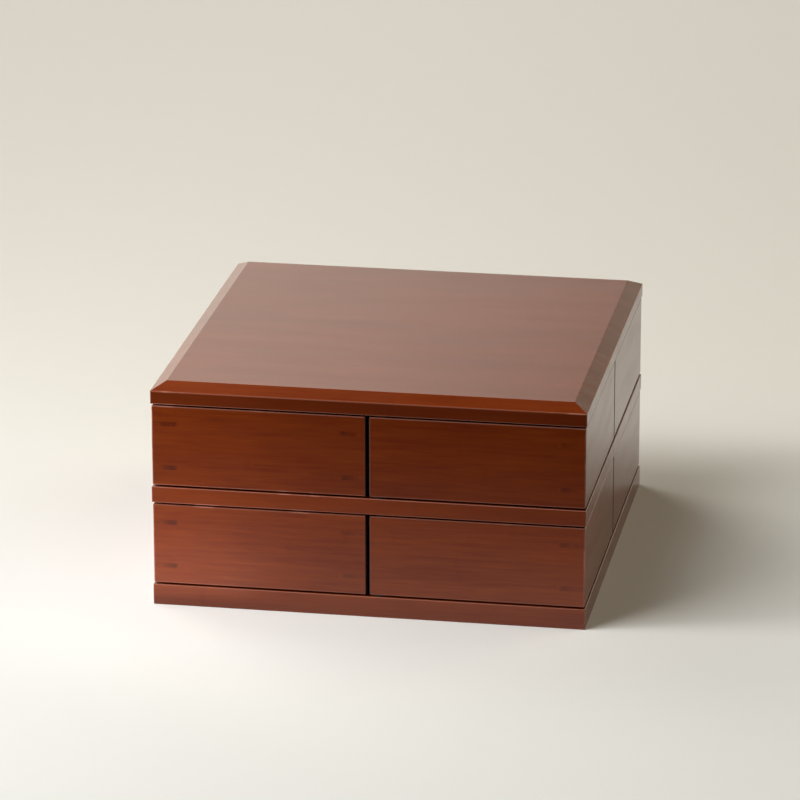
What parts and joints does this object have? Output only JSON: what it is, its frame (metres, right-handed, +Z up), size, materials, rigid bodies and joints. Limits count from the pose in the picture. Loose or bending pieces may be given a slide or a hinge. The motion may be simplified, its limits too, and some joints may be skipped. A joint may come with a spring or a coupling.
{
  "type": "rotating storage box",
  "caption": "Square stained-bamboo storage box with tiers of open-topped boxes that swing out on vertical corner rods between flat plates, under a chamfered lid.",
  "frame": {"origin": "centre of the base plate's underside, on the table", "axes": "+Z up, +X to the right of the pictured front face, +Y from the front to the back"},
  "size_m": [0.21, 0.21, 0.1119],
  "materials": {
    "stained_bamboo": "reddish-brown stain under semi-gloss lacquer, fine grain along each board",
    "dark_bamboo_key": "end-grain corner key, darker stain, flush under the lacquer",
    "bamboo_floor": "stained bamboo panel, satin",
    "steel_rod": "plain steel",
    "black_nylon": "matt",
    "brass": "turned"
  },
  "bodies": {
    "carcass": {"lid": "stained_bamboo", "middle_plate": "stained_bamboo", "base_plate": "stained_bamboo", "front_right_pivot_rod": "steel_rod", "back_right_pivot_rod": "steel_rod", "back_left_pivot_rod": "steel_rod", "front_left_pivot_rod": "steel_rod", "spacer_washers": "black_nylon", "threaded_inserts": "brass"},
    "lower_front_right_box": {"lower_front_right_box_front_wall": "stained_bamboo", "lower_front_right_box_right_wall": "stained_bamboo", "lower_front_right_box_back_wall": "stained_bamboo", "lower_front_right_box_left_wall": "stained_bamboo", "lower_front_right_box_corner_keys": "dark_bamboo_key", "lower_front_right_box_floor": "bamboo_floor"},
    "lower_back_right_box": {"lower_back_right_box_front_wall": "stained_bamboo", "lower_back_right_box_right_wall": "stained_bamboo", "lower_back_right_box_back_wall": "stained_bamboo", "lower_back_right_box_left_wall": "stained_bamboo", "lower_back_right_box_corner_keys": "dark_bamboo_key", "lower_back_right_box_floor": "bamboo_floor"},
    "lower_back_left_box": {"lower_back_left_box_front_wall": "stained_bamboo", "lower_back_left_box_right_wall": "stained_bamboo", "lower_back_left_box_back_wall": "stained_bamboo", "lower_back_left_box_left_wall": "stained_bamboo", "lower_back_left_box_corner_keys": "dark_bamboo_key", "lower_back_left_box_floor": "bamboo_floor"},
    "lower_front_left_box": {"lower_front_left_box_front_wall": "stained_bamboo", "lower_front_left_box_right_wall": "stained_bamboo", "lower_front_left_box_back_wall": "stained_bamboo", "lower_front_left_box_left_wall": "stained_bamboo", "lower_front_left_box_corner_keys": "dark_bamboo_key", "lower_front_left_box_floor": "bamboo_floor"},
    "upper_front_right_box": {"upper_front_right_box_front_wall": "stained_bamboo", "upper_front_right_box_right_wall": "stained_bamboo", "upper_front_right_box_back_wall": "stained_bamboo", "upper_front_right_box_left_wall": "stained_bamboo", "upper_front_right_box_corner_keys": "dark_bamboo_key", "upper_front_right_box_floor": "bamboo_floor"},
    "upper_back_right_box": {"upper_back_right_box_front_wall": "stained_bamboo", "upper_back_right_box_right_wall": "stained_bamboo", "upper_back_right_box_back_wall": "stained_bamboo", "upper_back_right_box_left_wall": "stained_bamboo", "upper_back_right_box_corner_keys": "dark_bamboo_key", "upper_back_right_box_floor": "bamboo_floor"},
    "upper_back_left_box": {"upper_back_left_box_front_wall": "stained_bamboo", "upper_back_left_box_right_wall": "stained_bamboo", "upper_back_left_box_back_wall": "stained_bamboo", "upper_back_left_box_left_wall": "stained_bamboo", "upper_back_left_box_corner_keys": "dark_bamboo_key", "upper_back_left_box_floor": "bamboo_floor"},
    "upper_front_left_box": {"upper_front_left_box_front_wall": "stained_bamboo", "upper_front_left_box_right_wall": "stained_bamboo", "upper_front_left_box_back_wall": "stained_bamboo", "upper_front_left_box_left_wall": "stained_bamboo", "upper_front_left_box_corner_keys": "dark_bamboo_key", "upper_front_left_box_floor": "bamboo_floor"}
  },
  "joints": [
    {"name": "lower_front_right_box_swing", "type": "hinge", "parent": "carcass", "child": "lower_front_right_box", "pos_m": [0.0053, -0.1001, 0.0312], "axis": [0, 0, -1], "range_deg": [0, 105]},
    {"name": "lower_back_right_box_swing", "type": "hinge", "parent": "carcass", "child": "lower_back_right_box", "pos_m": [0.1001, 0.0053, 0.0312], "axis": [0, 0, -1], "range_deg": [0, 105]},
    {"name": "lower_back_left_box_swing", "type": "hinge", "parent": "carcass", "child": "lower_back_left_box", "pos_m": [-0.0053, 0.1001, 0.0312], "axis": [0, 0, -1], "range_deg": [0, 105]},
    {"name": "lower_front_left_box_swing", "type": "hinge", "parent": "carcass", "child": "lower_front_left_box", "pos_m": [-0.1001, -0.0053, 0.0312], "axis": [0, 0, -1], "range_deg": [0, 105]},
    {"name": "upper_front_right_box_swing", "type": "hinge", "parent": "carcass", "child": "upper_front_right_box", "pos_m": [0.0053, -0.1001, 0.081], "axis": [0, 0, -1], "range_deg": [0, 105]},
    {"name": "upper_back_right_box_swing", "type": "hinge", "parent": "carcass", "child": "upper_back_right_box", "pos_m": [0.1001, 0.0053, 0.081], "axis": [0, 0, -1], "range_deg": [0, 105]},
    {"name": "upper_back_left_box_swing", "type": "hinge", "parent": "carcass", "child": "upper_back_left_box", "pos_m": [-0.0053, 0.1001, 0.081], "axis": [0, 0, -1], "range_deg": [0, 105]},
    {"name": "upper_front_left_box_swing", "type": "hinge", "parent": "carcass", "child": "upper_front_left_box", "pos_m": [-0.1001, -0.0053, 0.081], "axis": [0, 0, -1], "range_deg": [0, 105]}
  ]
}
